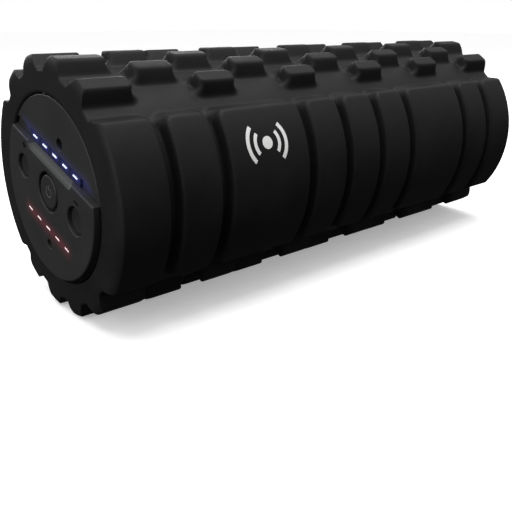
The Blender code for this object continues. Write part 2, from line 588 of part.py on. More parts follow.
def rotor():
    steel = ((0.62, 0.63, 0.65), 1.0, 0.25)
    place("rotor_shaft", rod(-SHAFT_HALF, SHAFT_HALF, SHAFT_R, segments=20, ease=0.4), steel)
    core = ring(-14.0, 20.0, SHAFT_R + 0.1, 13.2, 35)
    arm = place("armature", core, ((0.35, 0.16, 0.08), 0.6, 0.45))
    slots = []
    for k in range(7):
        piece = box(-16.0, 22.0, 8.0, 16.0, -1.1, 1.1)
        turn = Matrix.Rotation(math.tau * k / 7, 3, "X")
        bmesh.ops.rotate(piece, verts=piece.verts, cent=(0, 0, 0), matrix=turn)
        slots.append(piece)
    combine(arm, tool("armature_slots", gather(slots)), "DIFFERENCE")
    place("commutator", ring(CAN_FRONT + 2.4, -15.0, SHAFT_R + 0.1, 5.3, 28), ((0.75, 0.4, 0.2), 1.0, 0.35))
    wide = WEIGHT_R + 4
    for name, x in (("weight_front", -WEIGHT_AT), ("weight_rear", WEIGHT_AT)):
        half = WEIGHT_T / 2
        weight = place(name, ring(x - half, x + half, SHAFT_R + 0.1, WEIGHT_R, 36), steel)
        upper = prism([(-wide, 0), (-6.5, 0), (-6.5, 6.5), (6.5, 6.5), (6.5, 0), (wide, 0), (wide, wide),
                       (-wide, wide)], x - half - 1, x + half + 1)
        combine(weight, tool(name + "_cut", upper), "DIFFERENCE")


# ---------------------------------------------------------------- leads

def leads():
    red, black = ((0.5, 0.01, 0.01), 0.0, 0.45), ((0.01, 0.01, 0.01), 0.0, 0.45)
    plug = BOARD_FRONT + BOARD_T + 2.7
    high, low = WIRE_HOLE_B + 1.8, WIRE_HOLE_B - 1.8
    for tail, side, mat in (("red", 1, red), ("black", -1, black)):
        p = 1.5 * side
        path = [(plug, 3 * side, 29.0), (plug + 1.2, 3 * side, 29.0), (-143.8, p, high), (-134.0, p, high),
                (-128.0, 5 * side, high), (-128.0, 5 * side, 23.4)]
        lead("battery_lead_" + tail, rounded_path(path, 2.0, 2), 0.8, mat)
        path = [(plug, 3 * side, 25.4), (plug + 1.2, 3 * side, 25.4), (-143.8, p, low), (-30.5, p, low),
                (-30.5, 5 * side, 14.0)]
        lead("motor_lead_" + tail, rounded_path(path, 2.0, 2), 0.8, mat)


clear_scene()
PARTS = new_collection(NAME)
CUTTERS = new_collection("cutters", cutters=True)
foam_sleeve()
tube_and_seals()
control_cap()
rear_cap()
light_bars()
controls()
sockets()
control_board()
inner_frame()
motor()
rotor()
leads()
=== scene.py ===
"""Looks of the vibrating foam roller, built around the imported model.

Lengths are in millimetres until a mesh is made. X runs along the roller with the control cap at -X;
an angle about the axis is 0 at -Y and 90 at +Z. On the cap, p points toward the plus button and b
toward the speed lights; both are turned about the axis by CAP_TILT.
"""
import json
import math

import bmesh
import bpy
import numpy as np
from mathutils import Matrix, Vector


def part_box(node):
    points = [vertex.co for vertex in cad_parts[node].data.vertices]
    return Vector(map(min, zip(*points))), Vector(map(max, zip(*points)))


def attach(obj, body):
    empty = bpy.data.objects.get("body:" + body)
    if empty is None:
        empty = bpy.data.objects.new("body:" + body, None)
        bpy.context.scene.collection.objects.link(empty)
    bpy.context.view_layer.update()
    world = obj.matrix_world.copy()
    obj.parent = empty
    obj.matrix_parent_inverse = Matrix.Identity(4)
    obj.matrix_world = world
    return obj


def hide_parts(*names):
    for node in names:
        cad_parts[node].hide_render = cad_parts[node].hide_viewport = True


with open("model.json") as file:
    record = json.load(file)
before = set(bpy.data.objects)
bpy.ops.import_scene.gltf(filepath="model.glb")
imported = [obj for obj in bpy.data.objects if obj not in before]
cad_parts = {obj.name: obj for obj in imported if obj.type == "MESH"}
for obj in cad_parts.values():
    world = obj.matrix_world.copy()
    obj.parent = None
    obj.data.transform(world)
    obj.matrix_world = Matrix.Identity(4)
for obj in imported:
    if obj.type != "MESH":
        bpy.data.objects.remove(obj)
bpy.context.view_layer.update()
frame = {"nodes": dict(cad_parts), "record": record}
MM = 0.001


def low(node, axis=0):
    """Lower limit of a CAD node along an axis, in mm."""
    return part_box(node)[0][axis] / MM


def high(node, axis=0):
    """Upper limit of a CAD node along an axis, in mm."""
    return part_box(node)[1][axis] / MM


# ------------------------------------------------------------------ sizes taken from the frame

NEAR, FAR = low("foam_sleeve"), high("foam_sleeve")
PANEL = low("control_cap")
FACE = NEAR + 0.3
FLANGE_T = 3.2
BACK = FACE + FLANGE_T                 # inner face of the cap's flange
REAR = high("rear_cap")
FLANGE_R = high("rear_cap", 1)
CAP_TILT = math.radians(19.0)
SKIRT_R, SKIRT_BORE, SKIRT_END = 43.5, 41.3, 20.0
SEAL_AT, SEAL_R = 12.7, 42.5           # groove for the O-ring, measured from the cap's outer face

# foam tread, the same plan as the solid
TREAD_R, ROOT_R, BORE_R = 65.25, 58.3, 47.4
RISE = TREAD_R - ROOT_R
MID_R = (TREAD_R + ROOT_R) / 2
UNITS = 11
UNIT = (FAR - NEAR) / UNITS
PAST_END = 20.0                        # how far a block's wall line and the end pads run on
STUDS_PAST_END = 12.0                  # the same for the first and last studs; the rims round them off
STUD_LENGTH, STUD_LEAN = 23.5, 0.7
STUD_TOP, STUD_SLOPE = 3.3, 4.66       # half width of the top in degrees, width of the side wall
EVEN_ROWS = (56.25, 78.75, 101.25, 123.75)
ODD_ROWS = (67.5, 90.0, 112.5)
PAD_TOP, PAD_SLOPE = 37.0, 6.06
PAD_GROOVES = (1, 2, 4, 5, 6, 7, 9, 10)
GROOVE_TOP, GROOVE_FOOT = 7.6, 4.4
RIM_ROUND, RIM_R = 5.5, 61.25

# controls
PANEL_R = 45.3
PLUS_AT, MINUS_AT = 27.6, -27.6
POWER_HOLE, PLUS_HOLE, MINUS_HOLE = 10.3, 6.3, 7.3
SPEED_P, SPEED_B, SPEED_PITCH = 0.7, 19.3, 10.4
BATTERY_P, BATTERY_B, BATTERY_PITCH = -2.0, -20.2, 10.0
CHANNEL_LOW, CHANNEL_HIGH, CHANNEL_DEEP = 16.4, 21.7, 1.6
SCOOP_LOW, SCOOP_LEFT, SCOOP_RIGHT = 12.9, SPEED_P - 19.4, SPEED_P + 20.2
JACK_P, JACK_B, JACK_R = -3.5, 27.4, 2.95
LENS_P, LENS_B, LENS_R = -4.5, -28.3, 2.4
GUIDE_P, GUIDE_B = (SPEED_P - 24.4, SPEED_P + 24.4), (18.2, 20.4)   # limits of the speed lights' slot
SIGN_B, SIGN_HALF, SIGN_STROKE = 11.9, 2.1, 0.5                     # plus sign; strokes by half width


# ------------------------------------------------------------------ node materials

class Nodes:
    """A short way to write a material's node tree."""

    def __init__(self, name):
        self.mat = bpy.data.materials.new(name)
        self.mat.use_nodes = True
        self.tree = self.mat.node_tree
        self.shader = self.tree.nodes["Principled BSDF"]
        self.point = None

    def add(self, kind, **settings):
        node = self.tree.nodes.new(kind)
        for key, value in settings.items():
            setattr(node, key, value)
        return node

    def link(self, source, target):
        self.tree.links.new(source, target)

    def where(self):
        """Object coordinates, which are the row frame in metres."""
        if self.point is None:
            self.point = self.add("ShaderNodeTexCoord").outputs["Object"]
        return self.point

    def noise(self, scale, detail=3.0, roughness=0.55, stretch=None):
        node = self.add("ShaderNodeTexNoise")
        node.inputs["Scale"].default_value = scale
        node.inputs["Detail"].default_value = detail
        node.inputs["Roughness"].default_value = roughness
        source = self.where()
        if stretch:
            mapping = self.add("ShaderNodeMapping")
            mapping.inputs["Scale"].default_value = stretch
            self.link(source, mapping.inputs["Vector"])
            source = mapping.outputs["Vector"]
        self.link(source, node.inputs["Vector"])
        return node.outputs["Fac"]

    def cells(self, scale, feature="F1"):
        node = self.add("ShaderNodeTexVoronoi", feature=feature)
        node.inputs["Scale"].default_value = scale
        self.link(self.where(), node.inputs["Vector"])
        return node.outputs["Distance"]

    def spread(self, value, low_in, high_in, low_out, high_out):
        node = self.add("ShaderNodeMapRange")
        for slot, number in zip(("From Min", "From Max", "To Min", "To Max"),
                                (low_in, high_in, low_out, high_out)):
            node.inputs[slot].default_value = number
        self.link(value, node.inputs["Value"])
        return node.outputs["Result"]

    def ramp(self, value, stops):
        node = self.add("ShaderNodeValToRGB")
        band = node.color_ramp
        while len(band.elements) < len(stops):
            band.elements.new(0.5)
        for element, (at, colour) in zip(band.elements, stops):
            element.position = at
            element.color = (*colour, 1.0)
        self.link(value, node.inputs["Fac"])
        return node.outputs["Color"]

    def feed(self, slot, value):
        """Link a socket, or set a plain number or colour."""
        if isinstance(value, bpy.types.NodeSocket):
            self.link(value, slot)
        elif isinstance(value, tuple) and len(value) == 3:
            slot.default_value = (*value, 1.0)
        else:
            slot.default_value = value

    def math(self, operation, *values):
        node = self.add("ShaderNodeMath", operation=operation)
        for slot, value in zip(node.inputs, values):
            self.feed(slot, value)
        return node.outputs["Value"]

    def bump(self, *layers):
        """Stack (height, distance in mm, strength) layers, coarse first."""
        normal = None
        for height, distance, strength in layers:
            node = self.add("ShaderNodeBump")
            node.inputs["Distance"].default_value = distance * MM
            node.inputs["Strength"].default_value = strength
            self.link(height, node.inputs["Height"])
            if normal is not None:
                self.link(normal, node.inputs["Normal"])
            normal = node.outputs["Normal"]
        self.link(normal, self.shader.inputs["Normal"])

    def mix(self, factor, first, second):
        """Blend two colours."""
        node = self.add("ShaderNodeMix", data_type="RGBA")
        for name, value in (("Factor", factor), ("A", first), ("B", second)):
            self.feed([s for s in node.inputs if s.name == name and s.enabled][0], value)
        return [s for s in node.outputs if s.enabled][0]

    def on_cap(self):
        """X, p and b of the shaded point, turned with the control cap."""
        turn = self.add("ShaderNodeMapping")
        turn.inputs["Rotation"].default_value = (-CAP_TILT, 0.0, 0.0)
        self.link(self.where(), turn.inputs["Vector"])
        split = self.add("ShaderNodeSeparateXYZ")
        self.link(turn.outputs["Vector"], split.inputs["Vector"])
        return split.outputs["X"], split.outputs["Y"], split.outputs["Z"]

    def length(self, one, two):
        return self.math("SQRT", self.math("ADD", self.math("MULTIPLY", one, one),
                                           self.math("MULTIPLY", two, two)))

    def set(self, **sockets):
        for name, value in sockets.items():
            self.feed(self.shader.inputs[name.replace("_", " ")], value)
        return self.mat


def foam_material():
    """Closed-cell EVA: near black, matte, with fine cells and faint mottling from the mould."""
    n = Nodes("eva_foam")
    mottle = n.noise(38.0, 3.0)
    grain = n.noise(1500.0, 3.0, 0.6)
    cells = n.cells(1100.0)
    shade = n.math("ADD", n.math("MULTIPLY", mottle, 0.7), n.math("MULTIPLY", grain, 0.3))
    colour = n.ramp(shade, ((0.3, (0.0068, 0.0068, 0.0072)), (0.5, (0.0092, 0.0092, 0.0097)),
                            (0.75, (0.0125, 0.0125, 0.0130))))
    rough = n.spread(n.math("ADD", mottle, grain), 0.7, 1.3, 0.50, 0.64)
    n.bump((mottle, 0.9, 0.25), (cells, 0.12, 0.35), (grain, 0.10, 0.35))
    return n.set(Base_Color=colour, Roughness=rough, Specular_IOR_Level=0.18)


def moulded(name, dark, light, rough, grain_mm=0.5, depth=0.05, metallic=0.0, coat=0.0, specular=0.5):
    """Moulded plastic or rubber with a spark-eroded grain."""
    n = Nodes(name)
    broad = n.noise(55.0, 2.0)
    grain = n.noise(1000.0 / grain_mm, 3.0, 0.6)
    colour = n.ramp(broad, ((0.3, dark), (0.7, light)))
    n.bump((grain, depth, 0.4))
    return n.set(Base_Color=colour, Roughness=n.spread(grain, 0.3, 0.7, rough - 0.05, rough + 0.05),
                 Metallic=metallic, Coat_Weight=coat, Specular_IOR_Level=specular)


def turned_metal(name, dark, light, rough):
    """Metal with fine tool marks that run round the X axis."""
    n = Nodes(name)
    marks = n.noise(900.0, 2.0, 0.5, (1.0, 0.03, 0.03))
    broad = n.noise(60.0, 2.0)
    n.bump((marks, 0.03, 0.3))
    return n.set(Base_Color=n.ramp(broad, ((0.3, dark), (0.7, light))), Metallic=1.0,
                 Roughness=n.spread(marks, 0.3, 0.7, rough - 0.07, rough + 0.07))


def board_material():
    """Green solder mask with faint tracks."""
    n = Nodes("circuit_board")
    tracks = n.cells(420.0, "F2")
    colour = n.ramp(tracks, ((0.25, (0.006, 0.055, 0.022)), (0.5, (0.01, 0.09, 0.035)),
                             (0.8, (0.016, 0.12, 0.05))))
    n.bump((tracks, 0.05, 0.3))
    return n.set(Base_Color=colour, Roughness=n.spread(tracks, 0.2, 0.8, 0.3, 0.42))


def window_material(name, core, halo, strength):
    """A lit light-pipe window: white hot in the middle, coloured toward the rim."""
    n = Nodes(name)
    speck = n.noise(900.0, 2.0)
    n.bump((speck, 0.03, 0.2))
    colour = n.ramp(speck, ((0.2, halo), (0.45, core)))
    return n.set(Base_Color=core, Roughness=n.spread(speck, 0.3, 0.7, 0.18, 0.3), Emission_Color=colour,
                 Emission_Strength=strength)


def glow_material(name, row_p, row_b, pitch, dark, light, glow, strength, reach, base_rough):
    """Plastic that glows softly round each lit window of a row."""
    n = Nodes(name)
    grain = n.noise(2200.0, 3.0)
    broad = n.noise(55.0, 2.0)
    p, b = n.on_cap()[1:]
    along = n.math("SUBTRACT", p, row_p * MM)
    over = n.math("SUBTRACT", b, row_b * MM)
    nearest = n.math("MULTIPLY", n.math("ROUND", n.math("DIVIDE", along, pitch * MM)), pitch * MM)
    inside = n.math("MINIMUM", n.math("MAXIMUM", nearest, -2 * pitch * MM), 2 * pitch * MM)
    off = n.math("ABSOLUTE", n.math("SUBTRACT", along, inside))
    gap = n.math("MAXIMUM", n.math("SUBTRACT", off, 2.0 * MM), 0.0)
    fall = n.math("POWER", n.spread(n.length(gap, over), 0.0, reach * MM, 1.0, 0.0), 2.2)
    n.bump((grain, 0.05, 0.4))
    return n.set(Base_Color=n.ramp(broad, ((0.3, dark), (0.7, light))),
                 Roughness=n.spread(grain, 0.3, 0.7, base_rough - 0.05, base_rough + 0.05),
                 Emission_Color=glow, Emission_Strength=n.math("MULTIPLY", fall, strength))


def ink_material(name, colour, worn, specular=0.5):
    """Pad-printed ink with slightly uneven cover."""
    n = Nodes(name)
    cover = n.noise(700.0, 4.0, 0.65)
    n.bump((cover, 0.03, 0.3))
    return n.set(Base_Color=n.ramp(cover, ((0.25, worn), (0.42, colour))),
                 Roughness=n.spread(cover, 0.3, 0.7, 0.5, 0.65), Specular_IOR_Level=specular)


# ------------------------------------------------------------------ mesh helpers

def piece(name, verts, faces, material, body, tilt=False, sharp=34.0):
    """An object from plain vertex and face lists in mm, with sharp edges by angle."""
    mesh = bpy.data.meshes.new(name)
    mesh.from_pydata([tuple(float(c) * MM for c in v) for v in verts], [], faces)
    if tilt:
        mesh.transform(Matrix.Rotation(CAP_TILT, 4, "X"))
    obj = bpy.data.objects.new(name, mesh)
    bpy.context.scene.collection.objects.link(obj)
    finish_mesh(obj, sharp)
    mesh.materials.append(material)
    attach(obj, body)
    return obj


def finish_mesh(obj, sharp):
    """Weld, turn the faces outward, keep big flat faces flat and mark the sharp edges."""
    bm = bmesh.new()
    bm.from_mesh(obj.data)
    bmesh.ops.remove_doubles(bm, verts=bm.verts, dist=2e-7)
    bmesh.ops.recalc_face_normals(bm, faces=bm.faces)
    limit = math.radians(sharp)
    for face in bm.faces:
        face.smooth = len(face.verts) < 7
    for edge in bm.edges:
        edge.smooth = edge.calc_face_angle(0.0) < limit
    bm.to_mesh(obj.data)
    bm.free()


def turned(profile, segments=128, p=0.0, b=0.0, closed=False):
    """Turn (x, r) points about an X axis through (p, b); returns (verts, faces)."""
    verts, rings = [], []
    for x, r in profile:
        if r < 1e-6:
            rings.append([len(verts)])
            verts.append((x, p, b))
            continue
        rings.append(list(range(len(verts), len(verts) + segments)))
        for k in range(segments):
            a = math.tau * k / segments
            verts.append((x, p + r * math.cos(a), b + r * math.sin(a)))
    faces = []
    pairs = list(zip(rings, rings[1:])) + ([(rings[-1], rings[0])] if closed else [])
    for one, two in pairs:
        if len(one) == 1 or len(two) == 1:
            faces.append(list(two if len(one) == 1 else one))
            continue
        for k in range(segments):
            m = (k + 1) % segments
            faces.append([one[k], one[m], two[m], two[k]])
    used = sorted({i for face in faces for i in face})
    remap = {old: new for new, old in enumerate(used)}
    return [verts[i] for i in used], [[remap[i] for i in face] for face in faces]


def slab(outline, x0, x1):
    """A flat (p, b) outline pushed from x0 to x1."""
    count = len(outline)
    verts = [(x, p, b) for x in (x0, x1) for p, b in outline]
    faces = [list(range(count)), list(range(2 * count - 1, count - 1, -1))]
    faces += [[k, (k + 1) % count, count + (k + 1) % count, count + k] for k in range(count)]
    return verts, faces


def loft(sections):
    """Join equal closed outlines of (x, p, b) points into one solid."""
    count = len(sections[0])
    verts = [v for section in sections for v in section]
    faces = [list(range(count)), list(range(len(verts) - 1, len(verts) - count - 1, -1))]
    for level in range(len(sections) - 1):
        base = level * count
        faces += [[base + k, base + (k + 1) % count, base + count + (k + 1) % count, base + count + k]
                  for k in range(count)]
    return verts, faces


def stadium(p, b, half_p, half_b, steps=10):
    """Outline of a slot with round ends."""
    points = []
    for side in (1, -1):
        for k in range(steps + 1):
            a = math.pi * k / steps - math.pi / 2 + (0 if side > 0 else math.pi)
            points.append((p + side * (half_p - half_b) + half_b * math.cos(a), b + half_b * math.sin(a)))
    return points


def rounded(points, radii, steps=5):
    """Round the inner corners of an open (x, r) line; radii has one number per corner."""
    out = [Vector(points[0])]
    for before, corner, after, radius in zip(points, points[1:], points[2:], radii):
        before, corner, after = Vector(before), Vector(corner), Vector(after)
        u, v = (before - corner).normalized(), (after - corner).normalized()
        turn = math.pi - u.angle(v)
        if radius <= 0.0 or turn < 0.02:
            out.append(corner)
            continue
        reach = radius * math.tan(turn / 2)
        centre = corner + (u + v).normalized() * (radius / math.cos(turn / 2))
        start, end = corner + u * reach - centre, corner + v * reach - centre
        for k in range(steps + 1):
            t = k / steps
            swing = start * math.sin((1 - t) * turn) + end * math.sin(t * turn)
            out.append(centre + swing / math.sin(turn))
    out.append(Vector(points[-1]))
    return [tuple(p) for p in out]


def cutter(verts, faces):
    """A throwaway object, turned with the cap, for one Boolean."""
    mesh = bpy.data.meshes.new("cutter")
    mesh.from_pydata([tuple(c * MM for c in v) for v in verts], [], faces)
    mesh.transform(Matrix.Rotation(CAP_TILT, 4, "X"))
    bm = bmesh.new()
    bm.from_mesh(mesh)
    bmesh.ops.recalc_face_normals(bm, faces=bm.faces)
    bm.to_mesh(mesh)
    bm.free()
    obj = bpy.data.objects.new("cutter", mesh)
    bpy.context.scene.collection.objects.link(obj)
    return obj


def carve(obj, tools, operation="DIFFERENCE", sharp=34.0):
    """Apply exact Booleans with (verts, faces) tools, then drop the tools."""
    for verts, faces in tools:
        other = cutter(verts, faces)
        step = obj.modifiers.new("step", "BOOLEAN")
        step.solver = "EXACT"
        step.operation = operation
        step.object = other
        depsgraph = bpy.context.evaluated_depsgraph_get()
        fresh = bpy.data.meshes.new_from_object(obj.evaluated_get(depsgraph))
        obj.modifiers.clear()
        obj.data = fresh
        bpy.data.objects.remove(other, do_unlink=True)
    finish_mesh(obj, sharp)


# ------------------------------------------------------------------ foam sleeve

def wall(width, top_round, foot_round):
    """Cross-section of a block's wall as (distance outward from the top edge, height)."""
    line = rounded([(-PAST_END, RISE), (0.0, RISE), (width, 0.0), (width + PAST_END, 0.0)],
                   (top_round, foot_round), 10)
    return np.array(line).T


def block_height(x, angle, x0, x1, middle, half_top, end_wall, side_wall, corner):
    """Height over the root of one block on grids of x in mm and angle in degrees."""
    across = np.abs(x - (x0 + x1) / 2) - ((x1 - x0) / 2 - corner)
    off = np.abs((angle - middle + 180.0) % 360.0 - 180.0)
    around = np.radians(off) * MID_R - (math.radians(half_top) * MID_R - corner)
    a, s = np.maximum(across, 0.0), np.maximum(around, 0.0)
    out = np.hypot(a, s)
    distance = out + np.minimum(np.maximum(across, around), 0.0) - corner
    share = np.where(out > 1e-9, a * a / np.maximum(out * out, 1e-12), 0.5)
    end = np.interp(distance, *end_wall)
    side = np.interp(distance, *side_wall)
    return share * end + (1.0 - share) * side


def tread(x, angle):
    """Height over the root of the whole tread on a grid."""
    height = np.zeros(np.broadcast(x, angle).shape)
    stud_end, stud_side = wall(STUD_LEAN, 1.5, 1.2), wall(STUD_SLOPE, 1.7, 2.6)
    for unit in range(UNITS):
        start = NEAR + unit * UNIT
        x0 = start + (UNIT - STUD_LENGTH) / 2 + STUD_LEAN
        x1 = start + (UNIT + STUD_LENGTH) / 2 - STUD_LEAN
        x0 = NEAR - STUDS_PAST_END if unit == 0 else x0
        x1 = FAR + STUDS_PAST_END if unit == UNITS - 1 else x1
        for row in EVEN_ROWS if unit % 2 == 0 else ODD_ROWS:
            for side in (1, -1):
                block = block_height(x, angle, x0, x1, side * row, STUD_TOP, stud_end, stud_side, 2.2)
                height = np.maximum(height, block)
    slope = (GROOVE_TOP - GROOVE_FOOT) / 2
    pad_end, pad_side = wall(slope, 2.0, 1.2), wall(PAD_SLOPE, 2.2, 2.6)
    edges = [NEAR - PAST_END] + [NEAR + g * UNIT for g in PAD_GROOVES] + [FAR + PAST_END]
    for x0, x1 in zip(edges, edges[1:]):
        for middle in (0.0, 180.0):
            block = block_height(x, angle, x0 + GROOVE_TOP / 2, x1 - GROOVE_TOP / 2, middle, PAD_TOP,
                                 pad_end, pad_side, 3.4)
            height = np.maximum(height, block)
    return height


def length_stations():
    """Stations along X, close together at every block end and rim."""
    half_unit = [0.0, 0.9, 1.6, 2.0, 2.35, 2.7, 3.0, 3.2, 3.4, 3.6, 3.8, 4.0, 4.25, 4.6, 5.1, 5.8, 7.0,
                 9.5, 12.3]
    stations = set()
    for unit in range(UNITS + 1):
        at = NEAR + unit * UNIT
        for step in half_unit:
            stations.update((round(at + step, 4), round(at - step, 4)))
        stations.add(round(at + UNIT / 2, 4))
    rim = [0.0, 0.08, 0.25, 0.5, 0.8, 1.2, 1.7, 2.4, 3.2, 4.2, RIM_ROUND]
    inside = RIM_ROUND + 0.1
    stations = [x for x in stations if NEAR + inside < x < FAR - inside]
    stations += [NEAR + r for r in rim] + [FAR - r for r in rim]
    return np.array(sorted(stations))


def angle_stations():
    """Angles round the sleeve: fine over the stud zones, coarse over the plain middle of the pads."""
    step = 0.675
    fine = np.arange(36.0, 144.001, step)
    coarse = np.arange(-36.0, 36.0, 2.0) + step
    stations = np.concatenate([coarse, fine, coarse + 180.0, fine + 180.0]) % 360.0
    return np.sort(np.unique(np.round(stations, 3)))


def foam_sleeve():
    """The whole foam tube: treaded outside, rounded rims, flat ends and a plain bore."""
    x = length_stations()
    angle = angle_stations()
    grid_x, grid_a = np.meshgrid(x, angle, indexing="ij")
    height = tread(grid_x, grid_a)
    share = height / RISE
    inset = np.minimum(grid_x - NEAR, FAR - grid_x)
    arc = RIM_ROUND - np.clip(inset, 0.0, RIM_ROUND)
    rim = RIM_R + np.sqrt(RIM_ROUND ** 2 - arc ** 2)
    small = 1.2
    root_arc = small - np.clip(inset, 0.0, small)
    root = ROOT_R - small + np.sqrt(small ** 2 - root_arc ** 2)
    limit = root + (rim - ROOT_R) * np.clip(share * 3.0, 0.0, 1.0)
    radius = np.minimum(ROOT_R + height, limit)
    rows = [(grid_x[k], radius[k]) for k in range(len(x))]
    near_r, far_r = radius[0], radius[-1]
    flat = np.full(len(angle), 1.0)
    ends = []
    for at, outer, way in ((NEAR, near_r, 1), (FAR, far_r, -1)):
        ring = [(at * flat, outer - 0.8)]
        ring += [(at * flat, outer + (BORE_R + 2.0 - outer) * t) for t in (0.35, 0.7, 1.0)]
        ring += [(at * flat, (BORE_R + 1.0) * flat), (at * flat + way * 0.3, (BORE_R + 0.3) * flat),
                 (at * flat + way * 1.0, BORE_R * flat)]
        ends.append(ring)
    middle = [((NEAR + (FAR - NEAR) * t) * flat, BORE_R * flat) for t in (0.8, 0.6, 0.4, 0.2)]
    rows = rows + ends[1] + middle + ends[0][::-1]
    turn = np.radians(angle)
    verts = np.concatenate([np.stack([row_x, -row_r * np.cos(turn), row_r * np.sin(turn)], 1)
                            for row_x, row_r in rows])
    count, levels = len(angle), len(rows)
    faces = []
    for level in range(levels):
        above = (level + 1) % levels
        faces += [[level * count + k, level * count + (k + 1) % count,
                   above * count + (k + 1) % count, above * count + k] for k in range(count)]
    foam = piece("foam_tread", verts, faces, foam_material(), "roller", sharp=70.0)
    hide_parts("foam_sleeve")


def pad_mark():
    """A plain vibration sign, a dot between two pairs of arcs, printed on the third wide pad."""
    centre_x, centre_a = NEAR + 87.8, 20.0
    top, base = TREAD_R + 0.05, TREAD_R - 0.05
    verts, faces = [], []

    def wrap(u, v, r):
        a = math.radians(centre_a) + v / TREAD_R
        verts.append((centre_x + u, -r * math.cos(a), r * math.sin(a)))
        return len(verts) - 1

    def band(r0, r1, start, end, steps, across):
        grids = []
        for level in (top, base):
            grids.append([[wrap((r0 + (r1 - r0) * j / across) * math.cos(start + (end - start) * k / steps),
                                (r0 + (r1 - r0) * j / across) * math.sin(start + (end - start) * k / steps),
                                level) for j in range(across + 1)] for k in range(steps + 1)])
        for grid in grids:
            faces.extend([grid[k][j], grid[k + 1][j], grid[k + 1][j + 1], grid[k][j + 1]]
                         for k in range(steps) for j in range(across))
        rim = [(k, 0) for k in range(steps)] + [(steps, j) for j in range(across)]
        rim += [(k, across) for k in range(steps, 0, -1)] + [(0, j) for j in range(across, 0, -1)]
        for (k, j), (m, n) in zip(rim, rim[1:] + rim[:1]):
            faces.append([grids[0][k][j], grids[0][m][n], grids[1][m][n], grids[1][k][j]])

    def dot(radius, rings, steps):
        for level in (top, base):
            hub = wrap(0.0, 0.0, level)
            before = None
            for ring in range(1, rings + 1):
                here = [wrap(radius * ring / rings * math.cos(math.tau * k / steps),
                             radius * ring / rings * math.sin(math.tau * k / steps), level)
                        for k in range(steps)]
                for k in range(steps):
                    m = (k + 1) % steps
                    faces.append([hub, here[k], here[m]] if before is None
                                 else [before[k], here[k], here[m], before[m]])
                before = here
            outer.append(before)
        for k in range(steps):
            m = (k + 1) % steps
            faces.append([outer[0][k], outer[0][m], outer[1][m], outer[1][k]])

    outer = []
    dot(3.3, 3, 40)
    for r0, r1, half in ((7.0, 9.0, 40.0), (11.6, 13.8, 44.0)):
        for middle in (0.0, 180.0):
            band(r0, r1, math.radians(middle - half), math.radians(middle + half), 32, 3)
    white = ink_material("white_ink", (0.84, 0.84, 0.83), (0.62, 0.62, 0.61))
    piece("pad_mark", verts, faces, white, "roller")


# ------------------------------------------------------------------ control cap

def cap_profile():
    """Flange and skirt as (depth, r) from the outer face, with a groove for the seal."""
    groove = SEAL_AT - 1.0, SEAL_AT + 1.0
    line = [(0.0, 0.0), (0.0, FLANGE_R), (FLANGE_T, FLANGE_R), (FLANGE_T, SKIRT_R), (groove[0], SKIRT_R),
            (groove[0], SEAL_R), (groove[1], SEAL_R), (groove[1], SKIRT_R), (SKIRT_END, SKIRT_R),
            (SKIRT_END, SKIRT_BORE), (FLANGE_T, SKIRT_BORE), (FLANGE_T, 0.0)]
    return rounded(line, (0.6, 0.4, 0.2, 0, 0, 0, 0, 0.5, 0.3, 0.5), 4)


def hole(level, p, b, radius, flare, deep, segments=96):
    """Cutter for a round hole whose outer edge is rounded over."""
    line = [(level - 1.5, 0.0), (level - 1.5, radius + flare)]
    line += [(level + flare - flare * math.cos(t), radius + flare - flare * math.sin(t))
             for t in np.linspace(0.0, math.pi / 2, 6)]
    line += [(deep, radius), (deep, 0.0)]
    return turned(line, segments, p, b)


def slot_cut(level, p, b, half_p, half_b, flare, deep):
    """Cutter for a slot with round ends whose outer edge is rounded over."""
    sections = []
    depths = [(level - 1.5, flare)]
    depths += [(level + flare * (1 - math.cos(t)), flare * (1 - math.sin(t)))
               for t in np.linspace(0.0, math.pi / 2, 5)]
    for x, wider in depths + [(deep, 0.0)]:
        sections.append([(x, q, c) for q, c in stadium(p, b, half_p + wider, half_b + wider)])
    return loft(sections)


def panel_block():
    """The raised D-shaped panel with a rounded outer edge; the light channel trims its chord."""
    chord, soft = CHANNEL_LOW + 1.5, 0.7
    levels = [(PANEL + soft * (1 - math.sin(t)), soft * (1 - math.cos(t)))
              for t in np.linspace(math.pi / 2, 0.0, 7)]
    levels.append((NEAR + 1.6, 0.0))
    sections = []
    for x, drop in levels:
        radius = PANEL_R - drop
        open_at = math.asin(chord / radius)
        sections.append([(x, radius * math.cos(a), radius * math.sin(a))
                         for a in np.linspace(math.pi - open_at, math.tau + open_at, 150)])
    return loft(sections)


def channel_cut():
    """Straight light channel across the whole cap, with the panel's edge rounded beside it."""
    soft, lip = 0.9, 0.35
    line = [(FACE + CHANNEL_DEEP, CHANNEL_LOW)]
    line += [(PANEL + soft - soft * math.sin(t), CHANNEL_LOW - soft + soft * math.cos(t))
             for t in np.linspace(0.0, math.pi / 2, 6)]
    line += [(PANEL - 1.5, CHANNEL_LOW - soft), (PANEL - 1.5, CHANNEL_HIGH + lip)]
    line += [(FACE + lip - lip * math.cos(t), CHANNEL_HIGH + lip - lip * math.sin(t))
             for t in np.linspace(0.0, math.pi / 2, 4)]
    line.append((FACE + CHANNEL_DEEP, CHANNEL_HIGH))
    return loft([[(x, p, b) for x, b in line] for p in (-60.0, 60.0)])


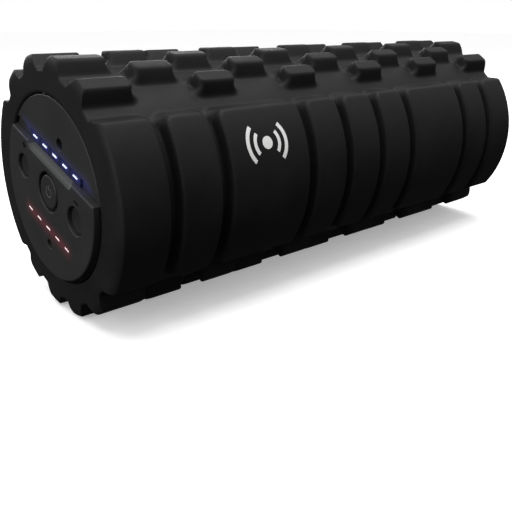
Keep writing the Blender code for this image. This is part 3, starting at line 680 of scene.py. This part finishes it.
def scoop_cut():
    """A sloped edge with round ends that runs from the panel down into the channel."""
    width = CHANNEL_LOW - SCOOP_LOW
    drop = FACE - PANEL
    sections = []
    for x in (PANEL - 1.0, FACE + 0.04):
        radius = max(width * (1 - (x - PANEL) / drop), 0.03)
        turn = np.linspace(0.0, math.pi / 2, 12)
        outline = [(SCOOP_LEFT - radius, CHANNEL_LOW + 1.0)]
        outline += [(SCOOP_LEFT - radius * math.cos(t), CHANNEL_LOW - radius * math.sin(t)) for t in turn]
        outline += [(SCOOP_RIGHT + radius * math.sin(t), CHANNEL_LOW - radius * math.cos(t)) for t in turn]
        outline.append((SCOOP_RIGHT + radius, CHANNEL_LOW + 1.0))
        sections.append([(x, p, b) for p, b in outline])
    return loft(sections)


def row(middle, pitch):
    """Places of the five windows of a row."""
    return [middle + pitch * k for k in (-2, -1, 0, 1, 2)]


def ring_spot(radius, degrees):
    """(p, b) of a place on a circle round the cap's middle."""
    a = math.radians(degrees)
    return radius * math.cos(a), radius * math.sin(a)


BOARD_FRONT = low("control_pcb") + 0.9
POSTS = ((16.0, 9.5), (-16.0, 9.5), (0.0, -14.6))
ROD_SPOTS = [ring_spot(37.2, a) for a in (50.0, 130.0, 270.0)]
PEGS = [(p, b, 2.4, BOARD_FRONT - 0.1) for p, b in POSTS]                     # p, b, radius, end
PEGS += [(p, b, 4.4, NEAR + 13.0) for p, b in ROD_SPOTS]
BORES = [(p, b, 1.1, BOARD_FRONT - 6.5, BOARD_FRONT + 1.0) for p, b in POSTS]  # p, b, radius, start, end
BORES += [(p, b, 2.2, NEAR + 4.3, NEAR + 14.0) for p, b in ROD_SPOTS]


def control_cap():
    """The cap in one piece: turned flange and skirt, panel, screw posts, then every opening."""
    profile = [(FACE + depth, r) for depth, r in cap_profile()]
    cap = piece("cap_with_panel", *turned(profile, 160), cap_material(), "roller", tilt=True)
    posts = [turned([(NEAR + 2.6, 0), (NEAR + 2.6, r), (end, r), (end, 0)], 40, p, b)
             for p, b, r, end in PEGS]
    carve(cap, [panel_block()] + posts, "UNION")
    deep = BACK + 1.0
    cuts = [channel_cut(), scoop_cut(),
            hole(PANEL, 0.0, 0.0, POWER_HOLE, 0.5, deep, 128),
            hole(PANEL, PLUS_AT, 0.0, PLUS_HOLE, 0.5, deep),
            hole(PANEL, MINUS_AT, 0.0, MINUS_HOLE, 0.5, deep),
            hole(FACE, JACK_P, JACK_B, JACK_R, 0.3, deep, 64),
            hole(PANEL, LENS_P, LENS_B, LENS_R, 0.3, deep, 64)]
    cuts += [slot_cut(PANEL, p, BATTERY_B, 2.35, 0.65, 0.15, deep) for p in row(BATTERY_P, BATTERY_PITCH)]
    (left, right), (bottom, top) = GUIDE_P, GUIDE_B
    cuts.append(slab([(left, bottom), (right, bottom), (right, top), (left, top)], FACE + 0.6, deep))
    cuts += [turned([(start, 0), (start, r), (end, r), (end, 0)], 32, p, b)
             for p, b, r, start, end in BORES]
    carve(cap, cuts, sharp=28.0)
    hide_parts("control_cap")


def cap_material():
    """Fine-textured dark ABS with painted light: a painted glow of the LEDs' spill round the two rows, a
    painted highlight on the scooped edge, and painted shade that makes the rim black.
    """
    n = Nodes("cap_abs")
    grain = n.noise(2600.0, 3.0, 0.6)
    broad = n.noise(50.0, 2.0)
    x, p, b = n.on_cap()
    front = n.spread(x, (BACK - 0.5) * MM, (FACE + 1.8) * MM, 0.0, 1.0)

    # painted glow: emission in the plastic that fades away from a row of windows, standing in for the LEDs'
    # light spill
    def glow(row_p, row_b, half, reach, power):
        along = n.math("ABSOLUTE", n.math("SUBTRACT", p, row_p * MM))
        past = n.math("MAXIMUM", n.math("SUBTRACT", along, half * MM), 0.0)
        away = n.length(past, n.math("SUBTRACT", b, row_b * MM))
        return n.math("MULTIPLY", n.math("POWER", n.spread(away, 0.0, reach * MM, 1.0, 0.0), 2.4), power)

    # painted blue and red glow round the speed and battery rows
    blue = glow(SPEED_P, SPEED_B + 1.2, 31.0, 8.0, 0.085)
    red = glow(BATTERY_P, BATTERY_B, 21.0, 8.0, 0.075)
    # painted highlight: a pale greenish emission band along the scooped edge, where light from above catches
    # the slope
    pale = glow(SPEED_P, (SCOOP_LOW + CHANNEL_LOW) / 2 - 0.2, 20.0, 3.4, 0.050)
    lit = n.math("ADD", n.math("ADD", blue, red), pale)
    total = n.math("MULTIPLY", lit, front)
    hue = n.mix(n.math("GREATER_THAN", b, 0.0), (1.0, 0.12, 0.22), (0.16, 0.18, 1.0))
    # the painted highlight's pale greenish colour takes over where it outweighs the painted glow
    hue = n.mix(n.math("DIVIDE", pale, n.math("MAXIMUM", lit, 0.00001)), hue, (0.72, 0.86, 0.74))
    # painted shade: the flange ring outside the panel and below the channel gets a near-black colour and
    # little specular, standing in for the shadow in the gap
    outside = n.math("GREATER_THAN", n.length(p, b), (PANEL_R + 0.1) * MM)
    rim = n.math("MULTIPLY", outside, n.math("LESS_THAN", b, CHANNEL_LOW * MM))
    plastic = n.ramp(broad, ((0.3, (0.022, 0.0222, 0.0222)), (0.7, (0.028, 0.0282, 0.0282))))
    n.bump((broad, 0.25, 0.15), (grain, 0.05, 0.5))
    # base colour and specular carry the painted shade of the rim
    return n.set(Base_Color=n.mix(rim, plastic, (0.004, 0.004, 0.004)),
                 Roughness=n.spread(grain, 0.3, 0.7, 0.42, 0.54),
                 Specular_IOR_Level=n.spread(rim, 0.0, 1.0, 0.25, 0.04),
                 Emission_Color=hue, Emission_Strength=total)


# ------------------------------------------------------------------ keys, lights, sockets

def key(name, node, body, p, hole_r, face_r, front, step, dish, material):
    """A push key with a gently dished face, a retaining rim and a stem."""
    neck, rim_r, stem_r = hole_r - 0.3, hole_r + 1.2, 2.6
    line = [(front + dish, 0.0), (front + dish, face_r * 0.45), (front, face_r * 0.86), (front, face_r)]
    softness = [2.0, 3.0, 0.8]
    if step:
        line += [(step, face_r), (step, neck)]
        softness += [0.25, 0.3]
    plunger = low("switch_power") - 0.9
    line += [(BACK + 0.3, neck), (BACK + 0.3, rim_r), (BACK + 1.4, rim_r), (BACK + 1.4, stem_r),
             (plunger, stem_r), (plunger, 0.0)]
    softness += [0.0, 0.15, 0.15, 0.0, 0.2]
    verts, faces = turned(rounded(line, softness, 5), 128, p, 0.0)
    obj = piece(name, verts, faces, material, body, tilt=True, sharp=30.0)
    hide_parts(node)


def keys():
    """The power, plus and minus keys, each on its own moving body."""
    plastic = moulded("key_abs", (0.021, 0.0212, 0.0214), (0.026, 0.0262, 0.0264), 0.42, 0.35, 0.04,
                      specular=0.25)
    key("power_key_top", "power_button", "power_key", 0.0, POWER_HOLE, 8.5,
        low("power_button"), NEAR + 0.2, 0.3, plastic)
    key("plus_key_top", "plus_button", "plus_key", PLUS_AT, PLUS_HOLE, PLUS_HOLE - 0.3,
        low("plus_button"), 0, 0.35, plastic)
    key("minus_key_top", "minus_button", "minus_key", MINUS_AT, MINUS_HOLE, MINUS_HOLE - 0.3,
        low("minus_button"), 0, 0.35, plastic)


def arc_band(p, b, inner, outer, start, end, steps=40):
    """Outline of part of a ring; start and end are in degrees."""
    angles = [math.radians(start + (end - start) * k / steps) for k in range(steps + 1)]
    return ([(p + outer * math.cos(a), b + outer * math.sin(a)) for a in angles]
            + [(p + inner * math.cos(a), b + inner * math.sin(a)) for a in reversed(angles)])


def bar(p, b, half_p, half_b):
    """Outline of a rectangle."""
    return [(p - half_p, b - half_b), (p + half_p, b - half_b),
            (p + half_p, b + half_b), (p - half_p, b + half_b)]


def joined(solids):
    """One (verts, faces) pair from several that don't touch."""
    verts, faces = [], []
    for more_verts, more_faces in solids:
        faces += [[i + len(verts) for i in face] for face in more_faces]
        verts += more_verts
    return verts, faces


def signs():
    """Generic control signs: power on its key, plus and minus printed beside theirs."""
    pale = ink_material("sign_ink", (0.085, 0.085, 0.088), (0.065, 0.065, 0.068))
    dark = ink_material("sign_ink_dark", (0.003, 0.003, 0.003), (0.005, 0.005, 0.005), 0.03)
    floor = low("power_button") + 0.3
    power = joined([slab(arc_band(0.0, 0.0, 2.35, 2.95, 122.0, 418.0), floor - 0.05, floor + 0.05),
                    slab(bar(0.0, 2.15, 0.3, 1.55), floor - 0.05, floor + 0.05)])
    piece("power_sign", *power, pale, "power_key", tilt=True)
    arm, half = SIGN_HALF, SIGN_STROKE
    plus = [(-arm, -half), (-half, -half), (-half, -arm), (half, -arm), (half, -half), (arm, -half),
            (arm, half), (half, half), (half, arm), (-half, arm), (-half, half), (-arm, half)]
    plus = [(PLUS_AT + p, SIGN_B + b) for p, b in plus]
    minus = bar(MINUS_AT, SIGN_B - 1.6, arm, half)
    for name, outline in (("plus_sign", plus), ("minus_sign", minus)):
        piece(name, *slab(outline, PANEL - 0.02, PANEL + 0.03), dark, "roller", tilt=True)


def window(x0, x1, p, b, half_p, half_b, soft):
    """A light window with round ends and a softened front edge."""
    levels = [(x0 + soft * (1 - math.sin(t)), soft * (1 - math.cos(t)))
              for t in np.linspace(math.pi / 2, 0.0, 5)] + [(x1, 0.0)]
    return loft([[(x, q, c) for q, c in stadium(p, b, half_p - drop, half_b - drop)]
                 for x, drop in levels])


def lights_on_cap():
    """The two light guides, each with five lit windows."""
    hot_blue = window_material("lit_blue", (0.85, 0.90, 1.0), (0.35, 0.45, 1.0), 0.65)
    hot_red = window_material("lit_red", (1.0, 0.86, 0.86), (1.0, 0.35, 0.38), 0.65)
    strip_look = glow_material("speed_strip", SPEED_P, SPEED_B, SPEED_PITCH, (0.010, 0.010, 0.022),
                               (0.014, 0.014, 0.030), (0.10, 0.14, 1.0), 0.16, 5.0, 0.28)
    top = FACE + 0.3
    middle, half = (CHANNEL_LOW + CHANNEL_HIGH) / 2, (CHANNEL_HIGH - CHANNEL_LOW) / 2
    strip = [slab(bar(SPEED_P, middle, 25.8, half - 0.3), top, FACE + CHANNEL_DEEP - 0.2),
             slab(bar(SPEED_P, 19.3, 24.0, 0.8), FACE + 1.0, NEAR + 6.2)]
    speed = piece("speed_light_strip", *joined(strip), strip_look, "roller", tilt=True)
    lamps = joined([window(FACE - 0.05, FACE + 0.9, p, SPEED_B, 2.1, 0.38, 0.2)
                    for p in row(SPEED_P, SPEED_PITCH)])
    lamps = piece("speed_windows", *lamps, hot_blue, "roller", tilt=True)
    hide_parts("speed_light_bar")
    strip_look = glow_material("battery_strip", BATTERY_P, BATTERY_B, BATTERY_PITCH, (0.03, 0.01, 0.01),
                               (0.04, 0.014, 0.014), (1.0, 0.10, 0.14), 0.3, 5.0, 0.3)
    guide = slab(bar(BATTERY_P, BATTERY_B, 24.5, 2.2), BACK + 0.3, BACK + 2.3)
    back = piece("battery_light_strip", *guide, strip_look, "roller", tilt=True)
    lamps = joined([window(PANEL + 0.15, BACK + 1.2, p, BATTERY_B, 2.2, 0.45, 0.2)
                    for p in row(BATTERY_P, BATTERY_PITCH)])
    lamps = piece("battery_windows", *lamps, hot_red, "roller", tilt=True)
    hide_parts("battery_light_bar")


def sockets():
    """Charging jack with its pin, and the lens of the charge light."""
    black = moulded("socket_plastic", (0.010, 0.010, 0.010), (0.016, 0.016, 0.016), 0.4, 0.3, 0.03)
    start, end = BACK + 0.3, BOARD_FRONT - 0.1
    line = rounded([(start, JACK_R), (start, 4.5), (end, 4.5), (end, 3.6), (BOARD_FRONT - 0.6, 3.6),
                    (BOARD_FRONT - 0.6, 0.0)], (0.3, 0.2, 0.1, 0.1), 3)
    line += rounded([(BOARD_FRONT - 1.6, 0.0), (BOARD_FRONT - 1.6, JACK_R), (start, JACK_R)], (0.2,), 3)
    jack = piece("jack_barrel", *turned(line, 72, JACK_P, JACK_B), black, "roller", tilt=True)
    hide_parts("charging_jack")
    tip, foot = low("jack_pin"), high("jack_pin")
    line = rounded([(tip + 2.2, 0.0), (tip + 2.2, 0.45), (tip, 0.45), (tip, 0.95), (foot, 0.95),
                    (foot, 0.0)], (0.1, 0.15, 0.3, 0.1), 4)
    plated = turned_metal("plated_pin", (0.55, 0.54, 0.52), (0.68, 0.67, 0.64), 0.25)
    pin = piece("jack_pin_tip", *turned(line, 48, JACK_P, JACK_B), plated, "roller", tilt=True)
    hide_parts("jack_pin")
    front, dome_r, rim_r, stem_r = low("charge_lens"), 2.1, 2.9, 1.8
    line = [(front + 0.55 * (1 - math.cos(t)), dome_r * math.sin(t))
            for t in np.linspace(0.0, math.pi / 2, 8)]
    line += [(start, dome_r), (start, rim_r), (BACK + 1.2, rim_r), (BACK + 1.2, stem_r),
             (BOARD_FRONT - 1.2, stem_r), (BOARD_FRONT - 1.2, 0.0)]
    smoked = moulded("smoked_lens", (0.012, 0.010, 0.010), (0.02, 0.016, 0.016), 0.12, 2.0, 0.01)
    lens = piece("charge_lens_dome", *turned(line, 56, LENS_P, LENS_B), smoked, "roller", tilt=True)
    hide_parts("charge_lens")


def rear_cap():
    """Plain end cap with one shallow ring groove."""
    line = [(REAR - depth, r) for depth, r in cap_profile()]
    plastic = moulded("rear_abs", (0.024, 0.0245, 0.0255), (0.030, 0.0305, 0.0315), 0.48, 0.38, 0.05,
                      specular=0.4)
    cap = piece("rear_cap_disc", *turned(line, 160), plastic, "roller")
    soft, inner, outer = 0.35, 34.0, 36.0
    profile = [(REAR - 0.8, inner + 0.2), (REAR - 0.8, outer - 0.2)]
    profile += [(REAR - soft * math.cos(t), outer + soft - soft * math.sin(t))
                for t in np.linspace(math.pi / 2, 0.0, 4)]
    profile += [(REAR + 1.0, outer + soft), (REAR + 1.0, inner - soft)]
    profile += [(REAR - soft * math.cos(t), inner - soft + soft * math.sin(t))
                for t in np.linspace(0.0, math.pi / 2, 4)]
    carve(cap, [turned(profile, 160, closed=True)])
    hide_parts("rear_cap")


# ------------------------------------------------------------------ materials of the carried solids

def slot_materials():
    """One plain look for each material slot, worn by the solids that no new piece replaces."""
    return {
        "inner_plastic": moulded("frame_nylon", (0.06, 0.06, 0.064), (0.08, 0.08, 0.085), 0.5, 0.5, 0.05),
        "tube_plastic": moulded("core_tube_abs", (0.42, 0.42, 0.40), (0.50, 0.50, 0.48), 0.5, 0.6, 0.05),
        "board": board_material(),
        "black_plastic": moulded("black_nylon", (0.012, 0.012, 0.012), (0.02, 0.02, 0.02), 0.45, 0.4, 0.04),
        "seal_rubber": moulded("seal_rubber", (0.010, 0.010, 0.010), (0.018, 0.018, 0.018), 0.7, 0.3, 0.05),
        "steel": turned_metal("turned_steel", (0.42, 0.43, 0.44), (0.58, 0.59, 0.60), 0.3),
        "bronze": turned_metal("sintered_bronze", (0.45, 0.28, 0.12), (0.62, 0.42, 0.2), 0.42),
        "magnet": moulded("ferrite", (0.04, 0.04, 0.043), (0.07, 0.07, 0.075), 0.6, 0.5, 0.06, 0.2),
        "cell_wrap": moulded("cell_wrap", (0.02, 0.10, 0.32), (0.03, 0.13, 0.38), 0.32, 1.2, 0.03, coat=0.3),
        "lead_red": moulded("wire_red", (0.40, 0.010, 0.010), (0.52, 0.016, 0.014), 0.42, 0.6, 0.03),
        "lead_black": moulded("wire_black", (0.010, 0.010, 0.010), (0.018, 0.018, 0.018), 0.42, 0.6, 0.03),
        "foam": moulded("foam_plain", (0.009, 0.009, 0.009), (0.012, 0.012, 0.012), 0.6),
        "cap_plastic": moulded("cap_plain", (0.03, 0.03, 0.032), (0.04, 0.04, 0.042), 0.45),
        "button_plastic": moulded("key_plain", (0.03, 0.03, 0.032), (0.04, 0.04, 0.042), 0.45),
        "light_blue": moulded("pipe_blue", (0.3, 0.35, 0.6), (0.4, 0.45, 0.7), 0.2),
        "light_red": moulded("pipe_red", (0.6, 0.3, 0.3), (0.7, 0.4, 0.4), 0.2),
        "lens": moulded("lens_plain", (0.012, 0.010, 0.010), (0.02, 0.016, 0.016), 0.15),
    }


def dress_solids():
    """Put its slot's look on every CAD solid."""
    looks = slot_materials()
    slots = {part["node"]: part["material_slot"] for part in frame["record"]["subparts"]}
    for name, obj in frame["nodes"].items():
        look = looks[slots[name]]
        if not obj.material_slots:
            obj.data.materials.append(look)
        for place in obj.material_slots:
            place.material = look


dress_solids()
foam_sleeve()
pad_mark()
control_cap()
keys()
signs()
lights_on_cap()
sockets()
rear_cap()

# ------------------------------------------------------------------ stage, light and camera

FLOOR_LIFT = 0.33                      # keeps the shadow on the white sweep pale
CAMERA_AT = (-0.2939, -0.2959, 0.0812)
CAMERA_TURNS = (41.89, 20.40, 0.25)    # degrees from +Y toward +X, down from level, and roll
LENS = 45.0
SKY_LOW, SKY_HIGH = 0.05, 1.10         # studio dome, dim at the horizon and bright overhead


def stage():
    """A plain white floor that lights nothing itself."""
    mat = Nodes("studio_floor")
    tone = mat.noise(3.0, 2.0)
    mat.set(Base_Color=mat.ramp(tone, ((0.3, (0.86, 0.86, 0.86)), (0.7, (0.89, 0.89, 0.89)))),
            Roughness=0.85, Emission_Color=(1.0, 1.0, 1.0), Emission_Strength=FLOOR_LIFT)
    ground = low("foam_sleeve", 2)
    bpy.ops.mesh.primitive_plane_add(size=12.0, location=(0, 0, ground * MM))
    floor = bpy.context.object
    floor.name = "floor"
    floor.data.materials.append(mat.mat)
    floor.visible_diffuse = False
    floor.visible_glossy = False


def area(name, place, aim, size, power):
    """A rectangular soft box at place that faces aim; lengths in metres."""
    light = bpy.data.lights.new(name, "AREA")
    light.shape = "RECTANGLE"
    light.size, light.size_y = size
    light.energy = power
    obj = bpy.data.objects.new(name, light)
    obj.location = place
    obj.rotation_euler = (Vector(aim) - Vector(place)).to_track_quat("-Z", "Y").to_euler()
    bpy.context.scene.collection.objects.link(obj)


def lights():
    """A dome that looks plain white to the camera, and three soft boxes."""
    world = bpy.data.worlds.new("studio")
    bpy.context.scene.world = world
    world.use_nodes = True
    tree = world.node_tree
    back = tree.nodes["Background"]
    back.inputs["Color"].default_value = (1.0, 1.0, 1.0, 1.0)
    split = tree.nodes.new("ShaderNodeSeparateXYZ")
    tree.links.new(tree.nodes.new("ShaderNodeTexCoord").outputs["Generated"], split.inputs["Vector"])
    sky = tree.nodes.new("ShaderNodeMapRange")
    for slot, number in zip(("From Min", "From Max", "To Min", "To Max"), (0.0, 1.0, SKY_LOW, SKY_HIGH)):
        sky.inputs[slot].default_value = number
    tree.links.new(split.outputs["Z"], sky.inputs["Value"])
    seen = tree.nodes.new("ShaderNodeLightPath")
    pick = tree.nodes.new("ShaderNodeMix")
    pick.inputs["B"].default_value = 1.0
    tree.links.new(seen.outputs["Is Camera Ray"], pick.inputs["Factor"])
    tree.links.new(sky.outputs["Result"], pick.inputs["A"])
    tree.links.new(pick.outputs["Result"], back.inputs["Strength"])
    area("overhead", (0.0, -0.15, 1.2), (0.0, 0.0, 0.0), (1.5, 0.7), 13.0)
    area("back_rim", (0.25, 1.1, 0.55), (0.0, 0.0, 0.05), (1.6, 0.35), 10.0)
    area("left_fill", (-1.3, -0.1, 0.35), (-0.16, 0.0, 0.0), (0.8, 0.8), 6.5)


def camera():
    """Close, a little above the roller, looking along it from the control cap's side."""
    data = bpy.data.cameras.new("camera")
    data.lens = LENS
    data.sensor_width = 36.0
    data.clip_start = 0.01
    data.clip_end = 50.0
    obj = bpy.data.objects.new("camera", data)
    azimuth, drop, roll = (math.radians(turn) for turn in CAMERA_TURNS)
    ahead = Vector((math.sin(azimuth) * math.cos(drop), math.cos(azimuth) * math.cos(drop),
                    -math.sin(drop)))
    turn = ahead.to_track_quat("-Z", "Y").to_matrix().to_4x4() @ Matrix.Rotation(roll, 4, "Z")
    obj.matrix_world = Matrix.Translation(Vector(CAMERA_AT)) @ turn
    bpy.context.scene.collection.objects.link(obj)
    bpy.context.scene.camera = obj


stage()
lights()
camera()
bpy.context.scene.view_settings.view_transform = "Standard"
